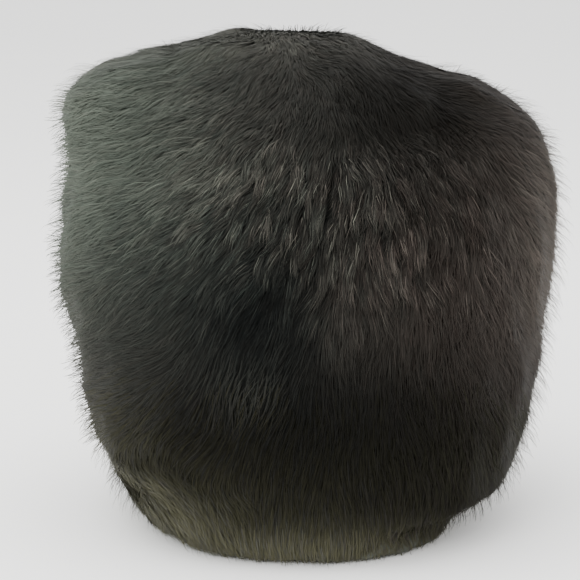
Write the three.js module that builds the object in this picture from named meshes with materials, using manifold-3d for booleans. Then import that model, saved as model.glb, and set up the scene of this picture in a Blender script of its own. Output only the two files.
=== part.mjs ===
// A hooded fur hat, in millimetres, +Z up. The face looks along -Y and the wearer's left is +X.
// A hollow leather body, open below for the head and in front for the face, carries the deep fur of
// five pelts: a left, a right and a top one, a band round the face, and a hem band that it stands on.
// Each pelt's fur is one solid: a thick backing with pointed locks fused to it, laid as the hair lies.
import * as THREE from "three";
import { mergeVertices } from "three/addons/utils/BufferGeometryUtils.js";
import Module from "manifold-3d";

const wasm = await Module();
wasm.setup();

const LEATHER_THICKNESS = 2.5;
const SEAM_GAP = 0.6; // between two pelts, and between the fur and the leather
const ROUNDNESS = 2.35; // of the level sections: 2 is an ellipse, and more is squarer

// The leather body's outside, one row for each level section from the rim to the crown.
// left, right, back and front are reaches from the upright axis; lean lifts the section's left side,
// as rise for each millimetre towards the left.
const LEATHER_SECTIONS = [
  { height: 0, left: 81, right: 80, back: 83, front: 84, lean: 0 },
  { height: 30, left: 88, right: 88, back: 91, front: 88, lean: 0 },
  { height: 70, left: 94, right: 94, back: 97, front: 92, lean: 0 },
  { height: 120, left: 99, right: 99, back: 101, front: 97, lean: 0 },
  { height: 165, left: 101, right: 101, back: 102, front: 101, lean: 0 },
  { height: 200, left: 98, right: 98, back: 97, front: 99, lean: 0.01 },
  { height: 228, left: 88, right: 86, back: 82, front: 87, lean: 0.03 },
  { height: 245, left: 62, right: 59, back: 56, front: 61, lean: 0.05 },
  { height: 252, left: 29, right: 28, back: 26, front: 29, lean: 0.05 },
  { height: 254, left: 0, right: 0, back: 0, front: 0, lean: 0.05 },
];

// The fur's outside under its locks, in the same columns. The third and fourth rows close the hem
// band, and the fifth is the groove under the overhanging pelts.
const FUR_SECTIONS = [
  { height: 0, left: 88, right: 85, back: 108, front: 100, lean: 0 },
  { height: 5, left: 99, right: 88, back: 113, front: 106, lean: 0.01 },
  { height: 14, left: 112, right: 98, back: 118, front: 111, lean: 0.03 },
  { height: 25, left: 120, right: 116, back: 120, front: 114, lean: 0.064 },
  { height: 32, left: 118, right: 116, back: 118, front: 114, lean: 0.064 },
  { height: 40, left: 128, right: 124, back: 125, front: 119, lean: 0.064 },
  { height: 58, left: 133, right: 131, back: 130, front: 123, lean: 0.05 },
  { height: 87, left: 138, right: 138, back: 134, front: 128, lean: 0.03 },
  { height: 122, left: 143, right: 143, back: 137, front: 132, lean: 0.01 },
  { height: 163, left: 149, right: 147, back: 137, front: 137, lean: 0 },
  { height: 199, left: 149, right: 150, back: 134, front: 140, lean: 0 },
  { height: 227, left: 148, right: 148, back: 127, front: 139, lean: 0.01 },
  { height: 247, left: 149, right: 143, back: 118, front: 134, lean: 0.03 },
  { height: 262, left: 144, right: 132, back: 106, front: 123, lean: 0.05 },
  { height: 275, left: 128, right: 112, back: 90, front: 103, lean: 0.06 },
  { height: 288, left: 98, right: 82, back: 68, front: 78, lean: 0.065 },
  { height: 298, left: 62, right: 52, back: 43, front: 49, lean: 0.065 },
  { height: 304, left: 30, right: 26, back: 21, front: 23, lean: 0.065 },
  { height: 306, left: 0, right: 0, back: 0, front: 0, lean: 0.065 },
];

// Soft swellings and dents of the fur, each round one place of its outside. angle is in degrees
// round the upright axis: 0 is the left, 90 the back, 180 the right and 270 the front.
const SWELLINGS = [
  { angle: 212, height: 232, spread: 36, swell: 9 }, // right front shoulder
  { angle: 340, height: 258, spread: 26, swell: 5 }, // left front shoulder
  { angle: 207, height: 276, spread: 15, swell: -7 }, // notch before the right shoulder
  { angle: 182, height: 194, spread: 13, swell: -5 }, // notches down the right side
  { angle: 184, height: 140, spread: 14, swell: -5 },
  { angle: 180, height: 168, spread: 20, swell: 4 },
  { angle: 2, height: 236, spread: 15, swell: -4 }, // notch down the left side
  { angle: 0, height: 158, spread: 26, swell: 4 },
  { angle: 96, height: 170, spread: 30, swell: -6 }, // valley down the back
  { angle: 84, height: 115, spread: 26, swell: -5 },
  { angle: 125, height: 200, spread: 30, swell: 4 }, // full back of the right pelt
  { angle: 60, height: 190, spread: 34, swell: 4 }, // and of the left pelt
];

// The face opening, as seen from the front: an arch over a narrower chin.
const FACE = { chinHalf: 52, cheekHalf: 70, cheekHeight: 105 };
const FACE_FLARE = 34; // the fur's edge rounds away from the opening by this much
const FACE_FLARE_FROM = 60; // distance in front of the axis where the flare begins
const FACE_FLARE_TO = 152; // and where it is widest

// The seams between the pelts.
const HEM_SEAM = { height: 32, lean: 0.064 };
const FACE_SEAM_Y = -60;
const TOP_SEAM = { height: 268, lean: 0.05 };
// The middle seam runs down the back: the height and how far left of the axis it lies.
const MIDDLE_SEAM = [
  { height: 340, offset: 6 },
  { height: 280, offset: -5 },
  { height: 220, offset: -10 },
  { height: 150, offset: 10 },
  { height: 105, offset: 27 },
  { height: 20, offset: 32 },
  { height: -40, offset: 32 },
];

const LOCK = { length: 54, width: 28, thickness: 10, rowStep: 37, columnStep: 40, swerve: 16 };
// A lock from its root to its tip: share of its length, of its width and of its thickness, and how
// far its middle lies off the fur's surface.
const LOCK_STATIONS = [
  { along: 0, wide: 0.5, thick: 0.8, lift: -5 },
  { along: 0.34, wide: 1, thick: 1, lift: -1.5 },
  { along: 0.7, wide: 0.62, thick: 0.7, lift: 2.3 },
  { along: 1, wide: 0, thick: 0, lift: 6.5 },
];
const RUFF_LOCKS = 11; // round the face opening
const RUFF_EDGE = 11; // how far outside the opening they are rooted
const RUFF_ENDS = 0.13; // share of the arch left without them at either end
const ROOT_CLEAR_OF_FACE = 8;
const LOCK_COLUMNS_NEAR_CROWN = 4;
const LOWEST_LOCK_ROOT = 12; // height of the lowest lock roots, so that the hem stays flat below
const FIRST_ROW = 0.05; // share of the way from rim to crown
const LAST_ROW = 0.985;

const LEATHER_GRID = { rings: 9, spokes: 26 };
const FUR_GRID = { rings: 18, spokes: 36 };
const FACE_STATIONS = 6;
const FACE_STEPS = 9; // along half of the arch
const FAR = 400; // beyond the hat on every side
const BELOW = 12; // how far a cutter reaches under the rim

const UP = new THREE.Vector3(0, 0, 1);
const radians = THREE.MathUtils.degToRad;

// A number from 0 to 1 that looks random and is the same in each run.
function scatter(seed) {
  const wave = Math.sin(seed * 12.9898) * 43758.5453;
  return wave - Math.floor(wave);
}

function solidOf(geometry) {
  geometry.deleteAttribute("normal");
  geometry.deleteAttribute("uv");
  const merged = mergeVertices(geometry, 1e-4);
  return new wasm.Manifold(
    new wasm.Mesh({
      numProp: 3,
      vertProperties: new Float32Array(merged.attributes.position.array),
      triVerts: new Uint32Array(merged.index.array),
    }),
  );
}

// The one main body of a solid, without loose crumbs and with bubbles between crossing locks filled.
function mainBody(solid) {
  return solid.decompose().reduce((most, body) => (body.volume() > most.volume() ? body : most));
}

function geometryOf(solid) {
  const mesh = solid.getMesh();
  const geometry = new THREE.BufferGeometry();
  geometry.setAttribute("position", new THREE.BufferAttribute(mesh.vertProperties, 3));
  geometry.setIndex(new THREE.BufferAttribute(mesh.triVerts, 1));
  geometry.computeVertexNormals();
  return geometry;
}

// A closed solid through rings of points, each ring with the same count, closed at both ends by a
// fan round the ring's own middle, or by a single point where an end ring has only one.
function loft(rings) {
  const points = [];
  const faces = [];
  const around = rings[1].length;
  const starts = rings.map((ring) => {
    points.push(...ring);
    return points.length - ring.length;
  });
  const next = (i) => (i + 1) % around;
  const fan = (start, tip, inward) => {
    for (let i = 0; i < around; i++) {
      const [a, b] = [start + i, start + next(i)];
      faces.push(...(inward ? [tip, b, a] : [tip, a, b]));
    }
  };
  for (let r = 0; r + 1 < rings.length; r++) {
    if (rings[r].length === 1) {
      fan(starts[r + 1], starts[r], true);
    } else if (rings[r + 1].length === 1) {
      fan(starts[r], starts[r + 1], false);
    } else {
      for (let i = 0; i < around; i++) {
        const [a, b] = [starts[r] + i, starts[r] + next(i)];
        const [c, d] = [starts[r + 1] + i, starts[r + 1] + next(i)];
        faces.push(a, b, d, a, d, c);
      }
    }
  }
  for (const end of [0, rings.length - 1]) {
    if (rings[end].length > 1) {
      const middle = new THREE.Vector3();
      rings[end].forEach((p) => middle.addScaledVector(p, 1 / around));
      points.push(middle);
      fan(starts[end], points.length - 1, end === 0);
    }
  }
  const geometry = new THREE.BufferGeometry().setFromPoints(points);
  geometry.setIndex(faces);
  return geometry;
}

// A skin turns a share of the way from rim to crown, and an angle round the axis, into a point.
function skinOf(sections, swellings = []) {
  const curve = (x, y, z) =>
    new THREE.CatmullRomCurve3(
      sections.map((row) => new THREE.Vector3(row[x], row[y], row[z])),
      false,
      "centripetal",
    );
  const sides = curve("left", "right", "height");
  const ends = curve("back", "front", "lean");
  const plain = (share, angle) => {
    const side = sides.getPoint(share);
    const end = ends.getPoint(share);
    const [c, s] = [Math.cos(angle), Math.sin(angle)];
    const x = Math.sign(c) * Math.abs(c) ** (2 / ROUNDNESS) * (c > 0 ? side.x : side.y);
    const y = Math.sign(s) * Math.abs(s) ** (2 / ROUNDNESS) * (s > 0 ? end.x : end.y);
    return new THREE.Vector3(x, y, side.z + end.z * x);
  };
  const places = swellings.map((row) => {
    const angle = radians(row.angle);
    let best = 0;
    for (let share = 0; share < 1; share += 0.01) {
      const off = (s) => Math.abs(plain(s, angle).z - row.height);
      if (off(share) < off(best)) best = share;
    }
    return { at: plain(best, angle), spread: row.spread, swell: row.swell };
  });
  return (share, angle, out = 0) => {
    const p = plain(share, angle);
    const { normal } = tangents(plain, share, angle);
    const swell = places.reduce(
      (sum, place) => sum + place.swell * Math.exp(-((p.distanceTo(place.at) / place.spread) ** 2)),
      0,
    );
    return p.addScaledVector(normal, swell + out);
  };
}

// The unit directions down and around on a skin, its outward normal, and how many millimetres one
// unit of share and of angle cover there.
function tangents(skin, share, angle) {
  const step = 0.004;
  const [low, high] = [Math.max(share - step, 0), Math.min(share + step, 0.999)];
  const across = skin(share, angle + step).sub(skin(share, angle - step));
  const down = skin(low, angle).sub(skin(high, angle));
  const perShare = down.length() / (high - low);
  const perAngle = across.length() / (2 * step);
  down.normalize();
  across.normalize();
  const normal = new THREE.Vector3().crossVectors(down, across);
  if (normal.lengthSq() < 0.01) normal.copy(UP);
  return { down, across, normal: normal.normalize(), perShare, perAngle };
}

// The filled form inside a skin. sunk sets its foot that far below the rim, for a clean cut.
function filled(skin, grid, out, sunk) {
  const rings = [];
  for (let r = 0; r < grid.rings; r++) {
    const share = r / grid.rings;
    const ring = [];
    for (let i = 0; i < grid.spokes; i++) {
      const p = skin(share, (2 * Math.PI * i) / grid.spokes, out);
      ring.push(r === 0 ? p.setZ(0) : p);
    }
    rings.push(ring);
  }
  if (sunk > 0) rings.unshift(rings[0].map((p) => p.clone().setZ(-sunk)));
  rings.push([skin(1, 0).add(new THREE.Vector3(0, 0, out))]);
  return solidOf(loft(rings));
}

// The arch of the face opening at a given flare, from the chin's left over the top to its right.
function faceArch(flare) {
  const half = FACE.cheekHalf + flare;
  const points = [];
  for (let i = 0; i < FACE_STEPS; i++) {
    const share = i / FACE_STEPS;
    const width = THREE.MathUtils.lerp(FACE.chinHalf + flare, half, Math.sin((share * Math.PI) / 2));
    points.push([width, THREE.MathUtils.lerp(-BELOW, FACE.cheekHeight, share)]);
  }
  for (let i = 0; i <= 2 * FACE_STEPS; i++) {
    const turn = (Math.PI * i) / (2 * FACE_STEPS);
    points.push([half * Math.cos(turn), FACE.cheekHeight + half * Math.sin(turn)]);
  }
  const chin = points.slice(0, FACE_STEPS).reverse();
  points.push(...chin.map(([x, z]) => [-x, z]));
  return points;
}

// The solid that cuts the face opening, straight for the leather and flared for the fur.
function faceCutter(flare) {
  const rings = [];
  for (let i = 0; i <= FACE_STATIONS; i++) {
    const share = i / FACE_STATIONS;
    const y = THREE.MathUtils.lerp(FACE_FLARE_FROM, FACE_FLARE_TO, Math.sin((share * Math.PI) / 2));
    const wide = flare * (1 - Math.cos((share * Math.PI) / 2));
    rings.push(faceArch(wide).map(([x, z]) => new THREE.Vector3(x, -y, z)));
  }
  rings.unshift(rings[0].map((p) => p.clone().setY(0)));
  rings.push(rings[rings.length - 1].map((p) => p.clone().setY(-FAR)));
  return solidOf(loft(rings));
}

const flareAt = (y) => {
  const share = THREE.MathUtils.clamp((-y - FACE_FLARE_FROM) / (FACE_FLARE_TO - FACE_FLARE_FROM), 0, 1);
  return FACE_FLARE * (1 - Math.sqrt(1 - share * share));
};

// How far a place lies outside the arch, seen from the front, less than 0 inside it.
function clearOfFace(p) {
  const half = FACE.cheekHalf + flareAt(p.y);
  if (p.z > FACE.cheekHeight) return Math.hypot(p.x, p.z - FACE.cheekHeight) - half;
  const share = THREE.MathUtils.clamp((p.z + BELOW) / (FACE.cheekHeight + BELOW), 0, 1);
  const chin = FACE.chinHalf + flareAt(p.y);
  return Math.abs(p.x) - THREE.MathUtils.lerp(chin, half, Math.sin((share * Math.PI) / 2));
}

const middleCurve = new THREE.SplineCurve(MIDDLE_SEAM.map((s) => new THREE.Vector2(s.offset, s.height)));

function middleSeamX(z) {
  let [low, high] = [0, 1];
  while (high - low > 1e-3) {
    const half = (low + high) / 2;
    if (middleCurve.getPoint(half).y > z) low = half;
    else high = half;
  }
  return middleCurve.getPoint(low).x;
}

function peltAt(p) {
  if (p.z < HEM_SEAM.height + HEM_SEAM.lean * p.x) return "hem_band";
  if (p.y < FACE_SEAM_Y) return "face_band";
  if (p.x > middleSeamX(p.z)) return "left_pelt";
  return p.z > TOP_SEAM.height + TOP_SEAM.lean * p.x ? "top_pelt" : "right_pelt";
}

// A block that fills everything above a plane tilted about the Y axis, or everything below it.
function blockAt({ height, lean }, above) {
  const side = above ? 1 : -1;
  const box = new THREE.BoxGeometry(2 * FAR, 2 * FAR, FAR);
  box.translate(0, 0, (side * (FAR + SEAM_GAP)) / 2);
  box.rotateY(-Math.atan(lean));
  box.translate(0, 0, height);
  return solidOf(box);
}

function blockBehind(y, behind) {
  const side = behind ? 1 : -1;
  const box = new THREE.BoxGeometry(2 * FAR, FAR, 2 * FAR);
  box.translate(0, y + (side * (FAR + SEAM_GAP)) / 2, 0);
  return solidOf(box);
}

// Everything left of the middle seam, or right of it.
function blockBeside(left) {
  const side = left ? 1 : -1;
  const line = middleCurve.getPoints(20).map((p) => new THREE.Vector2(p.x + (side * SEAM_GAP) / 2, p.y));
  const [top, bottom] = [line[0], line[line.length - 1]];
  line.unshift(new THREE.Vector2(side * FAR, top.y));
  line.push(new THREE.Vector2(side * FAR, bottom.y));
  const block = new THREE.ExtrudeGeometry(new THREE.Shape(line), { depth: 2 * FAR, bevelEnabled: false });
  block.rotateX(Math.PI / 2);
  block.translate(0, FAR, 0);
  return solidOf(block);
}

// The direction of the hair, in degrees from straight down towards a growing angle round the axis.
function heading(pelt, angle) {
  const degrees = THREE.MathUtils.radToDeg(angle);
  const turned = degrees > 270 ? degrees - 360 : degrees;
  if (pelt === "left_pelt") return -THREE.MathUtils.clamp(72 - 0.5 * turned, 25, 84);
  if (pelt === "top_pelt") return -12;
  if (pelt === "right_pelt") return THREE.MathUtils.clamp(0.5 * (turned - 108), -6, 50);
  return THREE.MathUtils.clamp(0.7 * (90 - turned), -50, 60);
}

// A lock that follows the skin from its root, under the surface, to a tip that stands off it.
function lockOn(skin, pelt, share, angle, seed) {
  const length = LOCK.length * (0.85 + 0.35 * scatter(seed));
  const width = LOCK.width * (0.85 + 0.3 * scatter(seed + 0.5));
  const spots = [];
  let [s, a] = [share, angle];
  LOCK_STATIONS.forEach((station, i) => {
    const here = tangents(skin, s, a);
    spots.push({ at: skin(s, a, station.lift), normal: here.normal });
    if (i + 1 === LOCK_STATIONS.length) return;
    const step = (LOCK_STATIONS[i + 1].along - station.along) * length;
    let turn = radians(heading(pelt, a) + LOCK.swerve * (scatter(seed + 0.7) - 0.5));
    if (pelt === "face_band") {
      const away = new THREE.Vector3(spots[i].at.x, 0, spots[i].at.z - FACE.cheekHeight).normalize();
      turn = Math.atan2(away.dot(here.across), away.dot(here.down));
    }
    s = THREE.MathUtils.clamp(s - (Math.cos(turn) * step) / here.perShare, 0.02, LAST_ROW);
    a += (Math.sin(turn) * step) / Math.max(here.perAngle, LOCK.width);
  });
  const rings = spots.map(({ at, normal }, i) => {
    const { wide, thick } = LOCK_STATIONS[i];
    if (wide === 0) return [at];
    const along = spots[i + 1].at.clone().sub(at).normalize();
    const side = new THREE.Vector3().crossVectors(normal, along).normalize();
    const over = new THREE.Vector3().crossVectors(along, side);
    const corner = (u, v) =>
      at.clone().addScaledVector(side, u * wide * width).addScaledVector(over, v * thick * LOCK.thickness);
    return [corner(-0.5, -0.2), corner(0.5, -0.2), corner(0, 0.6)];
  });
  return solidOf(loft(rings));
}

// The share that lies a distance higher up the skin's side.
function stepUp(skin, share, distance) {
  const step = 0.005;
  let up = share;
  for (let gone = 0; gone < distance && up < 1; up += step) gone += step * tangents(skin, up, 0).perShare;
  return up;
}

// Locks all over the fur, in staggered rows, as a list for each pelt.
function locksOver(skin) {
  const locks = { hem_band: [], face_band: [], left_pelt: [], top_pelt: [], right_pelt: [] };
  let seed = 1;
  let share = FIRST_ROW;
  for (let row = 0; share < LAST_ROW; row++) {
    const girth = 2 * Math.PI * tangents(skin, share, Math.PI / 4).perAngle;
    const columns = Math.max(LOCK_COLUMNS_NEAR_CROWN, Math.round(girth / LOCK.columnStep));
    for (let column = 0; column < columns; column++) {
      seed += 1;
      const jitter = 0.3 * (scatter(seed * 1.7) - 0.5);
      const angle = (2 * Math.PI * (column + (row % 2) / 2 + jitter)) / columns;
      const root = skin(share, angle);
      const open = root.y < 0 && clearOfFace(root) < ROOT_CLEAR_OF_FACE;
      if (open || root.z < LOWEST_LOCK_ROOT) continue;
      const pelt = peltAt(root);
      locks[pelt].push(lockOn(skin, pelt, share, angle, seed));
    }
    share = stepUp(skin, share, LOCK.rowStep);
  }
  return locks;
}

// Locks rooted all round the edge of the face opening, pointing away from it.
function ruffLocks(skin) {
  const arch = faceArch(RUFF_EDGE);
  const locks = [];
  for (let i = 0; i < RUFF_LOCKS; i++) {
    const share = THREE.MathUtils.lerp(RUFF_ENDS, 1 - RUFF_ENDS, i / (RUFF_LOCKS - 1));
    const [x, z] = arch[Math.round(share * (arch.length - 1))];
    // The place on the front of the skin that lies nearest, as seen from the front.
    const root = { share: 0, angle: 0, off: FAR };
    for (let angle = Math.PI; angle < 2 * Math.PI; angle += 0.03) {
      for (let up = FIRST_ROW; up < 0.8; up += 0.01) {
        const p = skin(up, angle);
        const off = Math.hypot(p.x - x, p.z - z);
        if (off < root.off) Object.assign(root, { share: up, angle, off });
      }
    }
    locks.push(lockOn(skin, "face_band", root.share, root.angle, 900 + i));
  }
  return locks;
}

const leatherSkin = skinOf(LEATHER_SECTIONS);
const furSkin = skinOf(FUR_SECTIONS, SWELLINGS);

function leatherBody() {
  return filled(leatherSkin, LEATHER_GRID, 0, 0)
    .subtract(filled(leatherSkin, LEATHER_GRID, -LEATHER_THICKNESS, BELOW))
    .subtract(faceCutter(0));
}

// The fur of all pelts as one mass, before its locks and seams.
function furBacking() {
  return filled(furSkin, FUR_GRID, 0, 0)
    .subtract(filled(leatherSkin, LEATHER_GRID, SEAM_GAP, BELOW))
    .subtract(faceCutter(FACE_FLARE));
}

// Where each pelt lies, as the block that its fur is cut to.
function peltBlocks() {
  const overHem = blockAt(HEM_SEAM, true);
  const crown = overHem.intersect(blockBehind(FACE_SEAM_Y, true));
  const right = crown.intersect(blockBeside(false));
  return {
    hem_band: blockAt(HEM_SEAM, false).intersect(blockAt({ height: -SEAM_GAP / 2, lean: 0 }, true)),
    face_band: overHem.intersect(blockBehind(FACE_SEAM_Y, false)),
    left_pelt: crown.intersect(blockBeside(true)),
    top_pelt: right.intersect(blockAt(TOP_SEAM, true)),
    right_pelt: right.intersect(blockAt(TOP_SEAM, false)),
  };
}

const fur = (color) => new THREE.MeshStandardMaterial({ color, roughness: 0.75, metalness: 0 });
const FUR_FINISHES = {
  hem_band: fur(0x35332b),
  face_band: fur(0x2e2a26),
  left_pelt: fur(0x2b2e2a),
  top_pelt: fur(0x26241f),
  right_pelt: fur(0x252220),
};
const LEATHER_FINISH = new THREE.MeshStandardMaterial({ color: 0x211c18, roughness: 0.85, metalness: 0 });

function named(name, solid, material) {
  const mesh = new THREE.Mesh(geometryOf(solid), material);
  mesh.name = name;
  return mesh;
}

const hat = new THREE.Group();
hat.name = "hooded_fur_hat";
hat.add(named("leather_body", leatherBody(), LEATHER_FINISH));

const backing = furBacking();
const blocks = peltBlocks();
const locks = locksOver(furSkin);
locks.face_band.push(...ruffLocks(furSkin));
const leatherRoom = filled(leatherSkin, LEATHER_GRID, SEAM_GAP, BELOW);
for (const [name, block] of Object.entries(blocks)) {
  let pelt = backing;
  for (const lock of locks[name]) pelt = pelt.add(lock.subtract(leatherRoom));
  hat.add(named(name, mainBody(pelt.intersect(block)), FUR_FINISHES[name]));
}

// The upright axis goes through the middle of the footprint.
const middle = new THREE.Box3().setFromObject(hat).getCenter(new THREE.Vector3());
hat.position.set(-middle.x, -middle.y, 0);

export default hat;
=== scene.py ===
import math

import bmesh
import bpy
import numpy as np
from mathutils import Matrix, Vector
from mathutils.bvhtree import BVHTree


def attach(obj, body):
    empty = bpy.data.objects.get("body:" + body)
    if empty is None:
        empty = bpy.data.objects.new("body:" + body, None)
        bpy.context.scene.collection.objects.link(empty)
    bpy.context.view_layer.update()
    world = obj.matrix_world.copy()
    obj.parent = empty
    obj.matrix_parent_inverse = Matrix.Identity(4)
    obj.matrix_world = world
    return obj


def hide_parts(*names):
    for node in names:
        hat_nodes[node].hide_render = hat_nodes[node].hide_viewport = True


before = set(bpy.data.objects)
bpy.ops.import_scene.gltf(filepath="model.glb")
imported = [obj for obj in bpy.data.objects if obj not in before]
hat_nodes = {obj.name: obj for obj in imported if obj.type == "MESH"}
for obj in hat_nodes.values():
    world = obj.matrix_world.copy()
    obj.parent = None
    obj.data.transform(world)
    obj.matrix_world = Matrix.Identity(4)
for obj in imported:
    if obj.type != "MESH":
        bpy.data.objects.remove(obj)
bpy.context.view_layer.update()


# The leather body. It is the skin side of the pelts, tanned dark and matt, a hollow dome that all
# the fur is sewn round. Its grain is fine pebbles with a few soft creases.
PEBBLES_PER_METRE = 620.0
CREASES_PER_METRE = 38.0
STAINS_PER_METRE = 11.0
GRAIN_DEPTH = 0.0006
LEATHER_TONES = [
    (0.2, (0.012, 0.009, 0.007)),
    (0.5, (0.026, 0.019, 0.014)),
    (0.8, (0.045, 0.034, 0.026)),
]


class Value:
    """One socket's value, so that the maths of a finish or of the hair reads as sums."""

    def __init__(self, tree, socket):
        self.tree = tree
        self.socket = socket

    def also(self, output):
        """Another output of the same node."""
        return Value(self.tree, self.socket.node.outputs[output])

    def joined(self, operation, first, second):
        node = self.tree.nodes.new("ShaderNodeMath")
        node.operation = operation
        for number, value in enumerate((first, second)):
            if isinstance(value, Value):
                self.tree.links.new(value.socket, node.inputs[number])
            else:
                node.inputs[number].default_value = value
        return Value(self.tree, node.outputs[0])

    def __add__(self, other):
        return self.joined("ADD", self, other)

    __radd__ = __add__

    def __mul__(self, other):
        return self.joined("MULTIPLY", self, other)

    __rmul__ = __mul__

    def __sub__(self, other):
        return self.joined("SUBTRACT", self, other)

    def __rsub__(self, other):
        return self.joined("SUBTRACT", other, self)

    def __pow__(self, other):
        return self.joined("POWER", self, other)

    def __lt__(self, other):
        return self.joined("LESS_THAN", self, other)


class NodeTree:
    """A tree of nodes, and node() for any node in it."""

    def __init__(self, tree):
        self.tree = tree

    def node(self, kind, settings=(), inputs=(), output=0):
        made = self.tree.nodes.new(kind)
        for name, value in dict(settings).items():
            if name == "stops":
                stops = made.color_ramp.elements
                stops.remove(stops[-1])
                for number, (at, color) in enumerate(value):
                    stop = stops.new(at) if number else stops[0]
                    stop.position, stop.color = at, (*color, 1)
            else:
                setattr(made, name, value)
        for name, value in dict(inputs).items():
            if isinstance(value, Value):
                self.tree.links.new(value.socket, made.inputs[name])
            else:
                made.inputs[name].default_value = value
        return Value(self.tree, made.outputs[output])


class Finish(NodeTree):
    """A material with one Principled shader."""

    def __init__(self, name, roughness, specular):
        self.material = bpy.data.materials.new(name)
        self.material.use_nodes = True
        super().__init__(self.material.node_tree)
        self.shader = self.tree.nodes["Principled BSDF"]
        self.shader.inputs["Roughness"].default_value = roughness
        self.shader.inputs["Specular IOR Level"].default_value = specular

    def drive(self, socket, value):
        self.tree.links.new(value.socket, self.shader.inputs[socket])


def leather_finish():
    leather = Finish("dark_leather", roughness=0.72, specular=0.35)
    place = leather.node("ShaderNodeTexCoord", output="Object")
    pebbles = leather.node(
        "ShaderNodeTexVoronoi",
        {"feature": "F1"},
        {"Vector": place, "Scale": PEBBLES_PER_METRE},
        output="Distance",
    )
    creases = leather.node(
        "ShaderNodeTexNoise",
        {},
        {"Vector": place, "Scale": CREASES_PER_METRE, "Detail": 6.0, "Roughness": 0.6},
    )
    stain = leather.node(
        "ShaderNodeTexNoise", {}, {"Vector": place, "Scale": STAINS_PER_METRE, "Detail": 3.0}
    )
    color = leather.node(
        "ShaderNodeValToRGB", {"stops": LEATHER_TONES}, {"Fac": stain * 0.7 + pebbles * 0.3}
    )
    leather.drive("Base Color", color)
    leather.drive("Roughness", 0.58 + creases * 0.3)
    relief = leather.node(
        "ShaderNodeBump",
        {},
        {"Strength": 0.5, "Distance": GRAIN_DEPTH, "Height": creases + pebbles * 0.6},
        output="Normal",
    )
    leather.drive("Normal", relief)
    return leather.material


leather_node = hat_nodes["leather_body"]
dark_leather = leather_finish()
for slot in leather_node.material_slots:
    slot.material = dark_leather


# The five hides. Each is a furred skin cut to its pelt's outline and sewn to the next one, so that
# the five meet edge to edge in one soft form. They are what the hair grows from, dark with
# short wool.
SLOTS = {
    "left_pelt": "fur_left",
    "right_pelt": "fur_right",
    "top_pelt": "fur_top",
    "hem_band": "fur_hem",
    "face_band": "fur_face",
}
PELTS = list(SLOTS)
HIDE_WELD = 0.00002
HIDE_GRAIN = 0.0052
HIDE_SOFTENING = 20
FURRED_FROM = 0.005  # distance from the leather where hair begins to grow
FURRED_FADE = 0.01  # distance beyond it over which the hair grows full
TOP_SEAM_HEIGHT = 0.268
TOP_SEAM_TILT = 0.05  # how much lower the seam lies for each metre to the left
VALLEY = (0.024, 0.165)  # where the left pelt dips under the right one, across and up


def joined_pelts():
    """All five pelts' solids as one closed mesh, softened."""
    points, faces = [], []
    for name in PELTS:
        mesh = hat_nodes[name].data
        start = len(points)
        points += [v.co[:] for v in mesh.vertices]
        faces += [[start + i for i in face.vertices] for face in mesh.polygons]
    mesh = bpy.data.meshes.new("joined_pelts")
    mesh.from_pydata(points, [], faces)
    pelts = bpy.data.objects.new("joined_pelts", mesh)
    bpy.context.collection.objects.link(pelts)
    weld = pelts.modifiers.new("weld", "WELD")
    weld.merge_threshold = HIDE_WELD
    remesh = pelts.modifiers.new("even", "REMESH")
    remesh.mode = "VOXEL"
    remesh.voxel_size = HIDE_GRAIN
    soft = pelts.modifiers.new("soft", "SMOOTH")
    soft.factor = 0.5
    soft.iterations = HIDE_SOFTENING
    depsgraph = bpy.context.evaluated_depsgraph_get()
    result = bpy.data.meshes.new_from_object(pelts.evaluated_get(depsgraph))
    bpy.data.objects.remove(pelts)
    return result


def vertex_table(mesh, name):
    """A mesh's places ("co") or normals ("normal") as rows of three."""
    values = np.empty(len(mesh.vertices) * 3, np.float32)
    if name == "normal":
        mesh.vertex_normals.foreach_get("vector", values)
    else:
        mesh.vertices.foreach_get(name, values)
    return values.reshape(-1, 3).astype(float)


def tree_of(node):
    mesh = node.data
    return BVHTree.FromPolygons(
        [v.co for v in mesh.vertices], [f.vertices[:] for f in mesh.polygons]
    )


def distances(tree, places):
    return np.array([tree.find_nearest(Vector(p))[3] for p in places])


def ramp(values, low, high):
    """0 below low, 1 above high, and a smooth rise between them."""
    share = np.clip((values - low) / (high - low), 0, 1)
    return share * share * (3 - 2 * share)


def band(values, middle, width):
    """1 in the middle of a band, and a soft fall to 0 on both sides."""
    return np.exp(-(((values - middle) / width) ** 2))


def total(parts):
    """The sum of parts, each an amount and its share at every place."""
    return sum(amount * share for amount, share in parts)


whole_hide = joined_pelts()
place = vertex_table(whole_hide, "co")
outward = vertex_table(whole_hide, "normal")
x, y, z = place.T
facing_up = outward[:, 2]
underside = ramp(-facing_up, 0.55, 0.85) * ramp(-z, -0.012, -0.004)
from_leather = distances(tree_of(leather_node), place)
furred = ramp(from_leather, FURRED_FROM, FURRED_FROM + FURRED_FADE) * (1 - underside)

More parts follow.
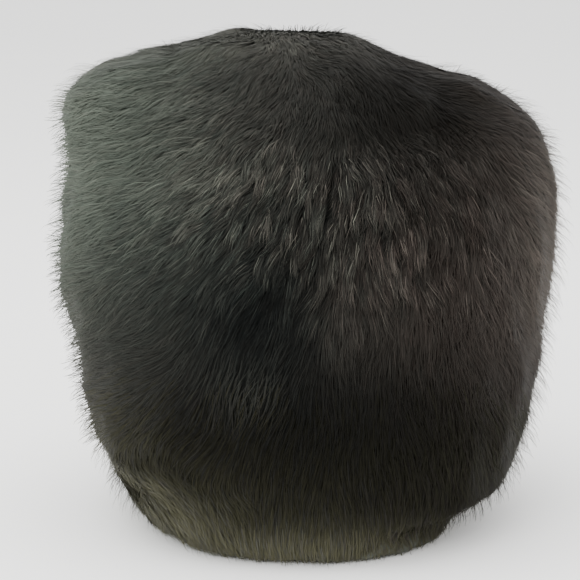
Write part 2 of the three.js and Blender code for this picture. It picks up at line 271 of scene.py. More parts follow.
# The soft forms that the deep fur adds to its pelts, with their heights in metres.
on_back = ramp(y, -0.02, 0.05)
on_top = ramp(facing_up, 0.4, 0.8)
crown = ramp(facing_up, 0.75, 0.95)
left_side = ramp(x, 0.11, 0.14) * ramp(y, -0.075, -0.02)
right_side = ramp(-x, 0.095, 0.125) * ramp(y, -0.045, 0.01)
right_half = ramp(-x, -0.005, 0.03) * ramp(y, -0.045, 0.01)
right_slope = ramp(-x, 0.02, 0.06) * (1 - ramp(-x, 0.075, 0.105)) * ramp(y, -0.1, -0.03)
above_seam = z - TOP_SEAM_HEIGHT + TOP_SEAM_TILT * x
relief = total(
    [
        (0.003, ramp(above_seam, -0.004, 0.006) * right_half),  # the top pelt over its seam
        (-0.0035, band(above_seam, -0.012, 0.009) * right_half),  # the groove under it
        (-0.004, band(x, VALLEY[0], 0.03) * band(z, VALLEY[1], 0.045) * on_back),  # the valley
        (0.001, band(z, 0.075, 0.022) * ramp(x, 0.05, 0.1)),  # the left pelt over the hem
        (-0.013, ramp(-z, -0.03, -0.004) * ramp(-x, 0.01, 0.07) * on_back),  # the hem drawn in
        (-0.0066, right_slope * on_top),  # the slope on the right of the crown
        (-0.0018, band(x, 0.095, 0.028) * on_top),  # the left shoulder
        (0.0018, crown),
        (0.0045, band(z, 0.262, 0.02) * left_side),  # the left corner
        (-0.003, band(z, 0.238, 0.014) * left_side),  # the waist below it
        (0.0025, band(z, 0.158, 0.018) * left_side),  # the left cheek
        (0.0045, band(z, 0.262, 0.02) * right_side),  # the right corner
    ]
)


# How the hair lies. On the crown it turns round a whorl, on the left it is combed down and to the
# left, on the right it hangs, and on the hem it runs sideways. Round the face it points outwards.
WHORL = np.array([-0.004, -0.09])
WHORL_REACH = 0.035
FACE_HEIGHT = 0.1
HEM_TILT = 0.06  # how much higher the hem's edge lies for each metre to the left
LOOKED_DOWN_FROM = 0.21  # radians above level at which the back is seen
COMB_REACH = 15.0  # millimetres over which one place of the comb fades into the next

# The hair's turn from straight down, in degrees, at the degrees round the hat given before it: 0
# is the hat's side that is left in the picture, 90 its back.
LEFT_COMB = ([-90, 0, 45], [80, 66, 60])
RIGHT_COMB = ([120, 180, 270], [-14, -34, -50])
HEM_COMB = ([-90, 0, 40, 75, 110, 180, 270], [-50, -55, -66, -40, -8, 22, 50])

# Places on the back, in millimetres left and up as seen from behind, and the comb's direction
# there in degrees from straight down, positive to the left.
BACK_COMB = [
    (134, 275, 72), (147, 224, 62), (128, 179, 58), (147, 128, 60), (122, 74, 62), (108, 93, 70),
    (70, 217, 55), (95, 243, 66), (38, 281, 24), (38, 243, 36), (12, 224, 26), (32, 186, 38),
    (6, 186, 22), (44, 141, 34), (19, 147, 22), (88, 147, 52), (6, 109, 10), (38, 83, 16),
    (70, 70, 34), (10, 304, -14), (8, 284, -18), (-20, 301, -48), (-24, 275, -66), (-58, 269, -72),
    (-96, 262, -60), (-122, 243, -42), (-147, 211, -34), (-151, 173, -26), (-20, 249, 4),
    (-58, 237, 0), (-90, 224, -5), (-32, 198, 3), (-70, 173, -2), (-109, 147, -8), (-134, 128, -18),
    (-32, 115, 0), (-77, 83, -3), (-122, 70, -14), (-102, 38, -12), (6, 51, 4), (-58, 19, 0),
    (108, 26, -66), (96, 12, -58), (70, 2, -38), (40, -4, -18), (6, -8, 0),
]


def behind(place):
    """Millimetres left and up, as seen from behind and a little above."""
    x, y, z = place.T
    up = z * math.cos(LOOKED_DOWN_FROM) - y * math.sin(LOOKED_DOWN_FROM)
    return np.stack([x, up], axis=1) * 1000


def combed(place):
    """The comb's direction on the back, in radians from straight down."""
    seen = behind(place)
    table = np.array(BACK_COMB, float)
    far = ((seen[:, None, :] - table[None, :, :2]) ** 2).sum(2)
    weight = np.exp(-far / (2 * COMB_REACH**2)) + 1e-6 / (far + 100)
    turn = np.radians(table[:, 2])
    return np.arctan2(weight @ np.sin(turn), weight @ np.cos(turn))


def unit(vectors):
    return vectors / np.maximum(np.linalg.norm(vectors, axis=1), 1e-6)[:, None]


def along_skin(vectors, outward):
    """The vectors laid flat on the skin, as unit vectors."""
    return unit(vectors - outward * (vectors * outward).sum(1)[:, None])


def headings(place, outward):
    """Unit vectors along the hair at places on the hide."""
    x, y, z = place.T
    round_hat = np.degrees(np.arctan2(y, x))
    round_hat = np.where(round_hat < -90, round_hat + 360, round_hat)
    left = ramp(x, -0.02, 0.02)
    turn = left * np.radians(np.interp(round_hat, *LEFT_COMB))
    turn = turn + (1 - left) * np.radians(np.interp(round_hat, *RIGHT_COMB))
    hem = ramp(-(z - HEM_TILT * x), -0.044, -0.034)
    turn = (1 - hem) * turn + hem * np.radians(np.interp(round_hat, *HEM_COMB))
    back = ramp(outward[:, 1], 0.05, 0.45) * ramp(y, -0.02, 0.03)
    back = np.maximum(back, ramp(outward[:, 2], 0.3, 0.6) * ramp(y, -0.06, -0.01))
    turn = (1 - back) * turn + back * combed(place)
    fall = np.tile([0.0, 0.0, -1.0], (len(place), 1))
    whorl = np.column_stack([place[:, :2] - WHORL, np.zeros(len(place))])
    flat = ramp(outward[:, 2], 0.35, 0.9)[:, None]
    down = along_skin((1 - flat) * fall + flat * unit(whorl), outward)
    sideways = np.cross(down, outward)
    from_whorl = np.linalg.norm(place[:, :2] - WHORL, axis=1)
    swirl = 1.3 * np.exp(-((from_whorl / WHORL_REACH) ** 2)) * flat[:, 0]
    turn = turn * (1 - 0.35 * flat[:, 0]) - swirl
    along = down * np.cos(turn)[:, None] + sideways * np.sin(turn)[:, None]
    away = along_skin(np.column_stack([x, np.zeros_like(x), z - FACE_HEIGHT]), outward)
    face = (ramp(-y, 0.06, 0.095) * (1 - hem))[:, None]
    return along_skin((1 - face) * along + face * away, outward)


# The hair's colour from place to place, with light and shade painted into it. The fur is painted
# paler at the upper left, the hem and the right edge, as light that falls there, and darker in the
# valley, low on the back and along the top seam, as shade. It is olive by the hem.
BASE_WARMTH = 0.5
BASE_LIGHTNESS = 0.46
OLIVE_SHARE = 0.7

# Lighter and darker patches of the back, partly the fur's own tone and partly painted light and
# shade: how much lighter, then the middle and the reach, in millimetres left and up as seen from
# behind.
TONE_AND_PAINTED_LIGHT_PATCHES = [
    (-0.09, 75, 90, 45, 55), (0.03, -35, 140, 30, 45), (0.09, 34, 205, 46, 36),
    (-0.05, -85, 210, 45, 30), (0.08, -118, 262, 30, 26), (-0.12, -95, 12, 40, 26),
    (-0.07, 30, 66, 50, 26), (-0.04, -20, 20, 50, 20), (0.07, 150, 128, 24, 50),
    (0.06, -122, 236, 22, 24), (-0.03, 92, 215, 30, 30),
]


def colour_and_painted_light(place):
    """Shares at places on the hide: how warm the hair is, how light with its painted light and shade,
    tufted, stray and olive.
    """
    left, up = behind(place).T
    x, y, z = place.T
    back = ramp(y, -0.02, 0.05)

    def patch(across, height, wide, high):
        return back * np.exp(-(((left - across) / wide) ** 2) - ((up - height) / high) ** 2)

    # Where shade is painted into the fur: the valley, low on the back and the top right. The valley's
    # hair is also cooler, and low on the back and at the top right it is less tufted.
    valley = patch(24, 134, 38, 44) * ramp(left, -16, 0)
    low = patch(-38, 78, 85, 52)
    top_right = patch(-62, 250, 75, 27)
    hem = ramp(HEM_TILT * x - z, -0.062, -0.034)
    # painted light: the hem is painted paler at the left and low on the back, as light that catches
    # it
    hem_left = 0.24 * hem * ramp(left, 20, 85) * ramp(y, -0.1, -0.01)
    hem_back = 0.2 * ramp(-up, -24, 10) * back * (1 - 0.4 * ramp(-left, 30, 90))
    # just above the hem, where shade is painted
    above_hem = ramp(-up, -110, -60) * ramp(up, 5, 25) * (1 - ramp(left, 60, 110)) * back

    tufted = 0.12 + 0.88 * patch(-15, 185, 85, 60) + 0.5 * patch(-2, 306, 40, 20)
    tufted *= 1 - 0.6 * low
    tufted *= 1 - 0.85 * np.minimum(1, top_right * 1.3)
    stray = patch(32, 88, 26, 22)
    olive = OLIVE_SHARE * np.maximum(hem, ramp(-up, -105, -45)) * ramp(y, -0.08, 0.0)
    warm = BASE_WARMTH + total(
        [
            # painted light: the cool, greenish tint of the haze at the upper left
            (-0.42, ramp(left, 0, 110) * ramp(up, 50, 200) * ramp(y, -0.08, 0.04)),
            (0.35, ramp(-left, 0, 120)),
            (-0.3, valley),
            (0.16, patch(-55, 150, 50, 50)),
        ]
    )
    light = BASE_LIGHTNESS + np.maximum(hem_left, hem_back) + total(
        [
            # painted light: the pale haze at the upper left
            (0.24, ramp(left, -10, 120) * ramp(up, 110, 260)),
            # painted light on the left edge, low down
            (0.07, ramp(left, 95, 150) * ramp(up, 0, 100)),
            (-0.12, ramp(left, 60, 120) * ramp(-y, -0.02, 0.08)),
            # painted light on the right edge
            (0.16, ramp(-left, 85, 155) * ramp(up, 30, 150) * (1 - 0.6 * ramp(-y, -0.03, 0.06))),
            # painted shade: the valley, low on the back, the top right, and bands along the top seam
            (-0.22, valley),
            (-0.27, low),
            (-0.24, top_right),
            (-0.08, ramp(up, 205, 245)),
            (0.03, ramp(up, 210, 250)),
            (-0.06, ramp(up, 255, 280)),
            # painted light on the crown
            (0.07, ramp(up, 265, 285) * ramp(left, -30, 20)),
            (0.14, ramp(up, 268, 298) * ramp(-left, -90, 0)),
            (0.02, ramp(up, 295, 312)),
            # painted light on the hem at the left
            (0.1, hem * ramp(left, 80, 110) * ramp(y, -0.06, 0.0)),
            # painted shade above the hem
            (-0.08, above_hem),
            (0.035, 1 - tufted),
            # lighter and darker patches, partly the fur's own tone and partly painted light and shade
            *[(more, patch(*where)) for more, *where in TONE_AND_PAINTED_LIGHT_PATCHES],
        ]
    )
    return [np.clip(values, 0.02, 1) for values in (warm, light, tufted, stray, olive)]


# The hides' places and wool. Each hide lies inside its pelt's fur, so that the hair fills the
# pelt's shape, and less deep where the hair is smooth. It keeps how the hair on it lies and looks.
HAIR_ROOM = 0.0048  # how deep the hide lies where the hair is in tufts; half of it where smooth
FLOOR_NAP = 0.4  # share of its length that the hair keeps where it is pressed on the floor
CROWN_LAID = 0.6  # share of its rise that the hair loses on the crown
WOOL_TUFTS_PER_METRE = 160.0
WOOL_TONES = [
    (0.0, (0.001, 0.001, 0.0009)),
    (0.25, (0.006, 0.006, 0.0052)),
    (0.5, (0.022, 0.022, 0.019)),
    (0.75, (0.07, 0.074, 0.062)),
    (1.0, (0.2, 0.21, 0.18)),
]


def store(mesh, name, values, kind="FLOAT"):
    layer = mesh.attributes.new(name, kind, "POINT")
    slot = "vector" if kind == "FLOAT_VECTOR" else "value"
    layer.data.foreach_set(slot, np.asarray(values, np.float32).ravel())


def nearest_pelt(mesh):
    """Each face's pelt, as a place in PELTS."""
    middles = [f.center for f in mesh.polygons]
    trees = [tree_of(hat_nodes[pelt]) for pelt in PELTS]
    far = [[tree.find_nearest(m)[3] for m in middles] for tree in trees]
    return np.argmin(np.array(far), axis=0).astype(np.int32)


depth = HAIR_ROOM * (0.5 + 0.5 * colour_and_painted_light(place)[2])
place = place - outward * ((depth - relief) * furred)[:, None]
place[:, 2] = np.maximum(place[:, 2], 0.0)
whole_hide.vertices.foreach_set("co", place.astype(np.float32).ravel())
whole_hide.update()
outward = vertex_table(whole_hide, "normal")
warm, light, tufted, stray, olive = colour_and_painted_light(place)
nap = FLOOR_NAP + (1 - FLOOR_NAP) * ramp(place[:, 2], 0.004, 0.03)
hair_looks = {
    "furred": furred,
    "nap": nap,
    "lift": nap * (1 - CROWN_LAID * crown),
    "warm": warm,
    "olive": olive,
    "light": light,
    "tufted": tufted,
    "stray": stray,
}
for name, values in hair_looks.items():
    store(whole_hide, name, values)
store(whole_hide, "along", headings(place, outward), "FLOAT_VECTOR")
owners = whole_hide.attributes.new("pelt", "INT", "FACE")
owners.data.foreach_set("value", nearest_pelt(whole_hide))


def wool_finish():
    wool = Finish("wool", roughness=0.95, specular=0.05)
    place = wool.node("ShaderNodeTexCoord", output="Object")
    tufts = wool.node(
        "ShaderNodeTexNoise", {}, {"Vector": place, "Scale": WOOL_TUFTS_PER_METRE, "Detail": 5.0}
    )
    lightness = wool.node("ShaderNodeAttribute", {"attribute_name": "light"}, output="Fac")
    tufted = wool.node("ShaderNodeAttribute", {"attribute_name": "tufted"}, output="Fac")
    # The wool takes the hair's lightness, with its painted light and shade, and is painted darker
    # where the hair is tufted, as shade in the gaps between the tufts.
    color = wool.node(
        "ShaderNodeValToRGB",
        {"stops": WOOL_TONES},
        {"Fac": lightness - tufted * 0.38 + tufts * 0.06 + 0.08},
    )
    wool.drive("Base Color", color)
    relief = wool.node(
        "ShaderNodeBump",
        {},
        {"Strength": 0.4, "Distance": 0.001, "Height": tufts},
        output="Normal",
    )
    wool.drive("Normal", relief)
    return wool.material


def hide_of(pelt):
    """The part of the whole hide that belongs to one pelt, as an object."""
    mesh = whole_hide.copy()
    mesh.name = pelt + "_hide"
    hide = bpy.data.objects.new(pelt + "_hide", mesh)
    bpy.context.collection.objects.link(hide)
    owner = np.empty(len(mesh.polygons), np.int32)
    mesh.attributes["pelt"].data.foreach_get("value", owner)
    shape = bmesh.new()
    shape.from_mesh(mesh)
    shape.faces.ensure_lookup_table()
    other = [shape.faces[i] for i in np.nonzero(owner != PELTS.index(pelt))[0]]
    bmesh.ops.delete(shape, geom=other, context="FACES")
    shape.to_mesh(mesh)
    shape.free()
    mesh.materials.append(wool)
    mesh.polygons.foreach_set("use_smooth", np.ones(len(mesh.polygons), bool))
    return hide


wool = wool_finish()
hides = {pelt: hide_of(pelt) for pelt in PELTS}


# The hair. Every pelt has a dense short undercoat, longer glossy guard hairs that gather in small
# pointed tufts, and a few still longer awn hairs that stand out at the outline. Each hair is a flat
# tapering blade, rooted in the hide and painted darker towards its root, as shade among the hairs.
COATS = {
    "undercoat": {
        "Hairs per m2": 480000.0,
        "Length": 0.013,
        "Width": 0.0006,
        "Rise": 0.005,
        "Gather": 0.4,
        "Thinned": 0.0,
        "Strays": 0.0,
        "Seed": 3,
    },
    "guard_hair": {
        "Hairs per m2": 620000.0,
        "Length": 0.017,
        "Width": 0.00033,
        "Rise": 0.0068,
        "Gather": 0.75,
        "Thinned": 0.66,
        "Strays": 0.0,
        "Seed": 11,
    },
    "awn_hair": {
        "Hairs per m2": 60000.0,
        "Length": 0.018,
        "Width": 0.00034,
        "Rise": 0.0078,
        "Gather": 0.6,
        "Thinned": 0.0,
        "Strays": 1.0,
        "Seed": 17,
    },
}
TUFTS_PER_M2 = 42000.0
TUFT_SEED = 5
WAVES_PER_METRE = 42.0
ABOVE_FLOOR = 0.0004

# The colour chart that each hair is looked up in. Across its left half the hair turns from cool to
# warm, its right half is olive, and up it the hair turns from dark to light.
OLIVE_FROM = 0.5
WARMEST = 0.48
CHART_EDGE = 0.01
HAIR_TONES = (0.0, 0.25, 0.5, 0.75, 0.9, 1.0)
COOL_HAIR = [
    (0.0007, 0.001, 0.0011),
    (0.0055, 0.0068, 0.0065),
    (0.021, 0.0255, 0.0218),
    (0.068, 0.08, 0.065),
    (0.132, 0.15, 0.122),
    (0.38, 0.4, 0.35),
]
WARM_HAIR = [
    (0.0013, 0.001, 0.0007),
    (0.0073, 0.0057, 0.0044),
    (0.0272, 0.0213, 0.0186),
    (0.082, 0.066, 0.057),
    (0.15, 0.128, 0.108),
    (0.42, 0.38, 0.33),
]
OLIVE_HAIR = [
    (0.001, 0.001, 0.0006),
    (0.0065, 0.0062, 0.0038),
    (0.0243, 0.0236, 0.0144),
    (0.0775, 0.0752, 0.047),
    (0.14, 0.136, 0.092),
    (0.4, 0.39, 0.3),
]


def blade_of(name, rings):
    """A flat blade from root to tip: rings of (share of the length, share of the width)."""
    points = []
    faces = []
    for along, across in rings:
        points += [(along, -across, 0), (along, across, 0)]
    tip = len(points)
    points.append((1, 0, 0))
    for i in range(len(rings) - 1):
        a = 2 * i
        faces.append((a, a + 1, a + 3, a + 2))
    faces.append((tip - 2, tip - 1, tip))
    mesh = bpy.data.meshes.new(name)
    mesh.from_pydata(points, [], faces)
    blade = bpy.data.objects.new(name, mesh)
    bpy.context.collection.objects.link(blade)
    return blade


BLADES = {
    "undercoat": blade_of("undercoat_blade", [(0, 0.9), (0.5, 0.75)]),
    "guard_hair": blade_of("guard_blade", [(0, 0.8), (0.36, 1.0), (0.72, 0.66)]),
    "awn_hair": blade_of("awn_blade", [(0, 0.8), (0.25, 1.0), (0.5, 0.85), (0.75, 0.6)]),
}


class Growth(NodeTree):
    """The hair's geometry nodes, with named inputs."""

    def __init__(self, name, inputs):
        super().__init__(bpy.data.node_groups.new(name, "GeometryNodeTree"))
        self.tree.is_modifier = True
        face = self.tree.interface
        face.new_socket(name="Geometry", in_out="OUTPUT", socket_type="NodeSocketGeometry")
        for title, kind in inputs.items():
            face.new_socket(name=title, in_out="INPUT", socket_type="NodeSocket" + kind)
        sockets = self.tree.nodes.new("NodeGroupInput").outputs
        self.given = {title: Value(self.tree, sockets[title]) for title in inputs}
        self.result = self.tree.nodes.new("NodeGroupOutput").inputs[0]

    def attribute(self, name, kind="FLOAT"):
        return self.node("GeometryNodeInputNamedAttribute", {"data_type": kind}, {"Name": name})

    def direction(self, name):
        return self.attribute(name, "FLOAT_VECTOR")

    def maths(self, operation, *values):
        return self.node("ShaderNodeMath", {"operation": operation}, dict(enumerate(values)))

    def vector(self, operation, *values):
        return self.node("ShaderNodeVectorMath", {"operation": operation}, dict(enumerate(values)))

    def plus(self, first, second):
        return self.vector("ADD", first, second)

    def scaled(self, vector, size):
        inputs = {0: vector, "Scale": size}
        return self.node("ShaderNodeVectorMath", {"operation": "SCALE"}, inputs)

    def turned(self, vector, axis, angle):
        inputs = {"Vector": vector, "Axis": axis, "Angle": angle}
        return self.node("ShaderNodeVectorRotate", {"rotation_type": "AXIS_ANGLE"}, inputs)

    def clamped(self, value, low, high):
        return self.node("ShaderNodeClamp", {}, {"Value": value, "Min": low, "Max": high})

    def chance(self, low, high, seed):
        """A number for each hair or tuft, anywhere from low to high."""
        inputs = {2: low, 3: high, "Seed": seed}
        return self.node("FunctionNodeRandomValue", {"data_type": "FLOAT"}, inputs, output=1)

    def scattered(self, mesh, density, seed):
        """Points on a mesh, which keep its outward direction as "out"."""
        points = self.node(
            "GeometryNodeDistributePointsOnFaces",
            {"distribute_method": "RANDOM"},
            {"Mesh": mesh, "Density": density, "Seed": seed},
        )
        return self.keep(points, "out", points.also("Normal"))

    def keep(self, geometry, name, value, kind="FLOAT_VECTOR", domain="POINT"):
        settings = {"data_type": kind, "domain": domain}
        inputs = {"Geometry": geometry, "Name": name, "Value": value}
        return self.node("GeometryNodeStoreNamedAttribute", settings, inputs)


def hair_growth():
    """Grows one coat on one hide, its hairs combed and gathered in tufts."""
    g = Growth(
        "hair_growth",
        {
            "Hide": "Geometry",
            "Skin": "Object",
            "Blade": "Object",
            "Hairs per m2": "Float",
            "Tufts per m2": "Float",
            "Length": "Float",
            "Width": "Float",
            "Rise": "Float",
            "Gather": "Float",
            "Thinned": "Float",
            "Strays": "Float",
            "Seed": "Int",
            "Finish": "Material",
        },
    )
    given = g.given
    strays = given["Strays"]
    here = g.node("GeometryNodeInputPosition")
    along = g.direction("along")
    out = g.direction("out")
    tufted = g.attribute("tufted")
    stray = g.attribute("stray") * strays

    # The roots, thinned out where the hair is smooth, and the middles of the tufts.
    left_in = 1.0 - (1.0 - tufted) * given["Thinned"]
    share = g.attribute("furred") * (stray * 2.5 + 1.0) * left_in
    roots = g.scattered(given["Hide"], given["Hairs per m2"] * share, given["Seed"])
    tufts = g.scattered(given["Hide"], given["Tufts per m2"], TUFT_SEED)
    noise = {"Vector": here, "Scale": WAVES_PER_METRE, "Detail": 1.0}
    waves = g.node("ShaderNodeTexNoise", {}, noise) * 1.4 - 0.7
    tuft_swerve = g.chance(-0.36, 0.36, 21) * (tufted * 0.8 + 0.2) + waves
    tufts = g.keep(tufts, "along", g.turned(along, out, tuft_swerve))
    tufts = g.keep(tufts, "lively", g.chance(0.0, 1.0, 22), "FLOAT")
    nearest = g.node(
        "GeometryNodeSampleNearest", {"domain": "POINT"}, {"Geometry": tufts, "Sample Position": here}
    )

    def of_tuft(value, kind="FLOAT_VECTOR"):
        """What the nearest tuft has."""
        return g.node(
            "GeometryNodeSampleIndex",
            {"data_type": kind, "domain": "POINT"},
            {"Geometry": tufts, "Value": value, "Index": nearest},
        )

    tuft_root = of_tuft(here)
    lively = of_tuft(g.attribute("lively"), "FLOAT")

    # How long each hair is, where it heads and how high its tip rises.
    own_swerve = g.chance(-0.16, 0.16, 31) + waves + stray * g.chance(-0.6, 0.6, 40)
    own_flow = g.turned(along, out, own_swerve)
    length = given["Length"] * g.chance(0.75, 1.15, 32) * (lively * 0.25 + 0.88)
    length = length * g.attribute("nap")
    standing = g.maths("MAXIMUM", tufted * 0.45 + 0.55, strays)
    proud = g.chance(0.0, 1.0, 41) ** 3.0 * 0.5 + strays * g.chance(-0.3, 0.9, 42)
    rise = given["Rise"] * ((lively - 0.5) * tufted * 0.45 + standing) * (proud + 1.0)
    rise = rise * (g.chance(-0.15, 0.15, 33) * (tufted + 0.15) + 1.0) * g.attribute("lift")

    # The skin that the hair bends round is the whole hide, across the seams.
    skin = g.node("GeometryNodeObjectInfo", {}, {"Object": given["Skin"]}, output="Geometry")

    def laid(start, direction, upwards):
        """The place that hair from start reaches when it follows the skin's turn."""
        reach = g.plus(start, g.scaled(direction, length))
        on_skin = g.node(
            "GeometryNodeProximity",
            {"target_element": "FACES"},
            {"Geometry": skin, "Sample Position": reach},
        )
        return g.plus(on_skin, g.scaled(upwards, rise))

    own_tip = laid(here, own_flow, out)
    tuft_tip = laid(tuft_root, of_tuft(along), of_tuft(out))
    tuft_tip = g.plus(tuft_tip, g.scaled(g.vector("SUBTRACT", here, tuft_root), 0.22))
    gathered = g.maths("MAXIMUM", tufted * 0.85 + 0.15, strays)
    pull = given["Gather"] * g.chance(0.55, 1.0, 34) * gathered
    tip = g.node(
        "ShaderNodeMix", {"data_type": "VECTOR"}, {0: pull, 4: own_tip, 5: tuft_tip}, output=1
    )
    sideways = g.vector("CROSS_PRODUCT", own_flow, out)
    bow = length * (lively * 0.7 - 0.35) * (tufted * 0.95 + 0.05)
    bend = g.plus(here, g.scaled(out, rise * 0.9))
    bend = g.plus(bend, g.scaled(own_flow, length * (tufted * -0.22 + 0.5)))
    bend = g.plus(bend, g.scaled(sideways, bow))
    side = g.vector("NORMALIZE", sideways)
    side = g.turned(side, own_flow, g.chance(-0.9, 0.9, 35) * (tufted * 0.8 + 0.2))
    wider = (1.0 - tufted) * (1.0 - strays) * 0.9 + 1.0
    side = g.scaled(side, given["Width"] * wider * g.chance(0.36, 0.64, 36))

    # How light and how warm each hair is, and its glint: a painted highlight along the middle of the
    # hair, strong on a few hairs in the tufts and on the stray hairs, faint on every awn hair.
    tuft_tone = (lively**2.0 * 0.36 - 0.15) * tufted
    own_tone = g.chance(-0.05, 0.05, 37) * (tufted * 0.8 + 0.2)
    glint = g.chance(0.0, 1.0, 39) ** 6.0 * 0.56 * tufted + stray * 0.25 + strays * 0.04
    tuft_hue = (g.maths("FRACT", lively * 7.0) - 0.5) * 0.45 * tufted
    for name, value in {"root": here, "bend": bend, "tip": tip, "side": side}.items():
        roots = g.keep(roots, name, value)
    looks = {
        "tone": g.attribute("light") + own_tone + tuft_tone,
        "glint": glint,
        # how much darker the hair is painted towards its root, as shade among the hairs
        "depth": tufted * 0.8 - 0.06,
        "phase": lively * 25.0,
        "hue": g.attribute("warm") + g.chance(-0.12, 0.12, 38) + tuft_hue,
        "olive_hair": g.chance(0.03, 1.0, 43) < g.attribute("olive"),
    }
    for name, value in looks.items():
        roots = g.keep(roots, name, value, "FLOAT")

    # The blades, each bent along the curve from its root over its bend to its tip.
    blade = g.node("GeometryNodeObjectInfo", {}, {"Object": given["Blade"]}, output="Geometry")
    blade = g.keep(blade, "blade", here)
    hairs = g.node("GeometryNodeInstanceOnPoints", {}, {"Points": roots, "Instance": blade})
    hairs = g.node("GeometryNodeRealizeInstances", {}, {"Geometry": hairs})
    done = g.node("ShaderNodeSeparateXYZ", {}, {0: g.direction("blade")})
    across = done.also(1)
    rest = 1.0 - done
    wave = g.maths("SINE", g.attribute("phase") + done * 6.0) * 4.0 * (tufted * done)
    at = g.scaled(g.direction("root"), rest * rest)
    at = g.plus(at, g.scaled(g.direction("bend"), rest * done * 2.0))
    at = g.plus(at, g.scaled(g.direction("tip"), done * done))
    at = g.plus(at, g.scaled(g.direction("side"), across + wave))
    lowest = g.node("ShaderNodeCombineXYZ", {}, {0: -9.0, 1: -9.0, 2: ABOVE_FLOOR})
    at = g.vector("MAXIMUM", at, lowest)
    hairs = g.node("GeometryNodeSetPosition", {}, {"Geometry": hairs, "Position": at})

    # Smooth hair is lit as the skin under it is, and tufted hair partly as its own blades are.
    blade_out = g.scaled(g.node("GeometryNodeInputNormal"), tufted * 0.5)
    lit_as = g.vector("NORMALIZE", g.plus(blade_out, g.scaled(out, 0.8)))
    hairs = g.node(
        "GeometryNodeSetMeshNormal",
        {"mode": "FREE", "domain": "POINT"},
        {"Mesh": hairs, "Custom Normal": lit_as},
    )

    # Each hair's place in the colour chart, kept as its texture coordinates. Up the chart it is
    # painted darker towards its root as shade among the hairs, and brighter along its middle as a
    # painted glint.
    tone_with_painted_light = g.attribute("tone") * (1.0 - g.attribute("depth") * rest)
    tone_with_painted_light = g.clamped(tone_with_painted_light + g.attribute("glint") * (rest * done * 4.0), 0.01, 0.99)
    hue = (g.attribute("hue") + across * 0.012) * WARMEST
    hue = g.clamped(hue, CHART_EDGE, WARMEST) + g.attribute("olive_hair") * OLIVE_FROM
    chart = g.node("ShaderNodeCombineXYZ", {}, {0: hue, 1: tone_with_painted_light})
    hairs = g.keep(hairs, "OFBake", chart, "FLOAT2", "CORNER")
    inputs = {"Geometry": hairs, "Material": given["Finish"]}
    hairs = g.node("GeometryNodeSetMaterial", {}, inputs)
    g.tree.links.new(hairs.socket, g.result)
    return g.tree


def hair_finish(name):
    """Soft matt hair with its colour from the chart."""
    hair = Finish(name, roughness=0.5, specular=0.03)
    chart = hair.node("ShaderNodeUVMap", {"uv_map": "OFBake"})
    hue = hair.node("ShaderNodeSeparateXYZ", {}, {0: chart})
    lightness = hue.also(1)
    cool, warm, olive = (
        hair.node(
            "ShaderNodeValToRGB", {"stops": zip(HAIR_TONES, colors)}, {"Fac": lightness}
        )
        for colors in (COOL_HAIR, WARM_HAIR, OLIVE_HAIR)
    )
    warmth = hue * (1 / OLIVE_FROM)
    is_olive = (hue - OLIVE_FROM) * 100.0
    mixed = {"data_type": "RGBA"}
    color = hair.node("ShaderNodeMix", mixed, {0: warmth, 6: cool, 7: warm}, output=2)
    color = hair.node("ShaderNodeMix", mixed, {0: is_olive, 6: color, 7: olive}, output=2)
    hair.drive("Base Color", color)
    return hair.material


growth = hair_growth()
GROWTH_SOCKETS = {
    item.name: item.identifier
    for item in growth.interface.items_tree
    if item.in_out == "INPUT"
}
KEPT_LAYERS = ("position", "OFBake", "custom_normal")


def grow(pelt, coat, finish):
    """One coat of one pelt as a plain mesh of blades."""
    hide = hides[pelt]
    grower = hide.modifiers.new("grow", "NODES")
    grower.node_group = growth
    given = {
        "Skin": whole_skin,
        "Blade": BLADES[coat],
        "Tufts per m2": TUFTS_PER_M2,
        "Finish": finish,
        **COATS[coat],
    }
    for name, value in given.items():
        grower[GROWTH_SOCKETS[name]] = value
    hide.update_tag()
    depsgraph = bpy.context.evaluated_depsgraph_get()
    mesh = bpy.data.meshes.new_from_object(hide.evaluated_get(depsgraph))
    hide.modifiers.remove(grower)
    names = [a.name for a in mesh.attributes if not a.is_internal and a.name not in KEPT_LAYERS]
    for name in names:
        layer = mesh.attributes.get(name)
        if layer and not layer.is_required:
            mesh.attributes.remove(layer)
    mesh.materials.clear()
    mesh.materials.append(finish)
    hair = bpy.data.objects.new(pelt + "_" + coat, mesh)
    bpy.context.collection.objects.link(hair)
    return hair


whole_skin = bpy.data.objects.new("whole_skin", whole_hide)
bpy.context.collection.objects.link(whole_skin)
for pelt in PELTS:
    finish = hair_finish(pelt + "_fur")
    coats = [grow(pelt, coat, finish) for coat in COATS]
    for piece in [hides[pelt], *coats]:
        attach(piece, "root")
    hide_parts(pelt)
for helper in [whole_skin, *BLADES.values()]:
    bpy.data.objects.remove(helper)


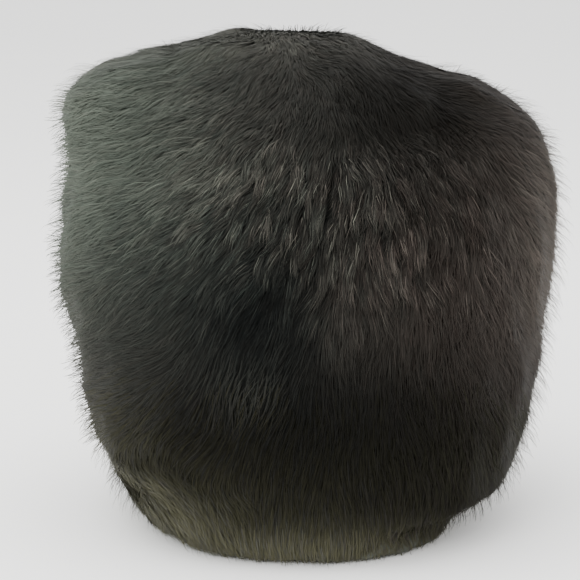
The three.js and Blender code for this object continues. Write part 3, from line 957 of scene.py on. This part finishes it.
# The studio. A pale paper floor under even light from all round, with one large soft lamp overhead,
# one before the hat's back, and a small one on each side that catches the hair at the edges.
FLOOR_REACH = 8
PAPER_TONES = [(0.0, (0.91, 0.91, 0.9)), (1.0, (0.94, 0.94, 0.93))]
SKY_STRENGTH = 1.9
LAMPS_AIM = Vector((0, 0, 0.15))
LAMPS = {  # place, width, power and colour
    "overhead": ((0.3, 0.3, 2.4), 2.2, 65, (1.0, 0.995, 0.98)),
    "front": ((0.8, 2.4, 1.7), 2.0, 60, (1.0, 0.99, 0.97)),
    "left_edge": ((1.5, 0.1, 0.7), 0.8, 8, (0.96, 1.0, 0.97)),
    "right_edge": ((-1.5, 0.0, 0.6), 0.8, 7, (1.0, 0.97, 0.94)),
}
CAMERA_AWAY = 1.5
CAMERA_HEIGHT_ANGLE = math.radians(12)
SENSOR_WIDTH = 36  # millimetres
PICTURE_WIDTH = 0.365  # metres across the picture where the hat stands
AIM = Vector((0.0108, 0.0, 0.1436))


def floor_mesh(reach):
    mesh = bpy.data.meshes.new("floor")
    corners = [(-reach, -reach, 0), (reach, -reach, 0), (reach, reach, 0), (-reach, reach, 0)]
    mesh.from_pydata(corners, [], [(0, 1, 2, 3)])
    return mesh


def lamp(name, at, size, power, color):
    light = bpy.data.lights.new(name, "AREA")
    light.shape = "DISK"
    light.size = size
    light.energy = power
    light.color = color
    holder = bpy.data.objects.new(name, light)
    holder.location = at
    holder.rotation_euler = (LAMPS_AIM - Vector(at)).to_track_quat("-Z", "Y").to_euler()
    bpy.context.collection.objects.link(holder)


paper = Finish("pale_paper", roughness=0.9, specular=0.1)
speck = paper.node("ShaderNodeTexNoise", {}, {"Scale": 30.0})
paper_color = paper.node("ShaderNodeValToRGB", {"stops": PAPER_TONES}, {"Fac": speck})
paper.drive("Base Color", paper_color)
floor = bpy.data.objects.new("floor", floor_mesh(FLOOR_REACH))
floor.data.materials.append(paper.material)
bpy.context.collection.objects.link(floor)

world = bpy.data.worlds.new("studio")
bpy.context.scene.world = world
world.use_nodes = True
world.node_tree.nodes["Background"].inputs["Color"].default_value = (1, 1, 1, 1)
world.node_tree.nodes["Background"].inputs["Strength"].default_value = SKY_STRENGTH
for name, settings in LAMPS.items():
    lamp(name, *settings)

camera = bpy.data.cameras.new("camera")
camera.lens = SENSOR_WIDTH * CAMERA_AWAY / PICTURE_WIDTH
holder = bpy.data.objects.new("camera", camera)
toward = Vector((0, math.cos(CAMERA_HEIGHT_ANGLE), math.sin(CAMERA_HEIGHT_ANGLE)))
holder.location = AIM + toward * CAMERA_AWAY
holder.rotation_euler = (-toward).to_track_quat("-Z", "Y").to_euler()
bpy.context.collection.objects.link(holder)
bpy.context.scene.camera = holder
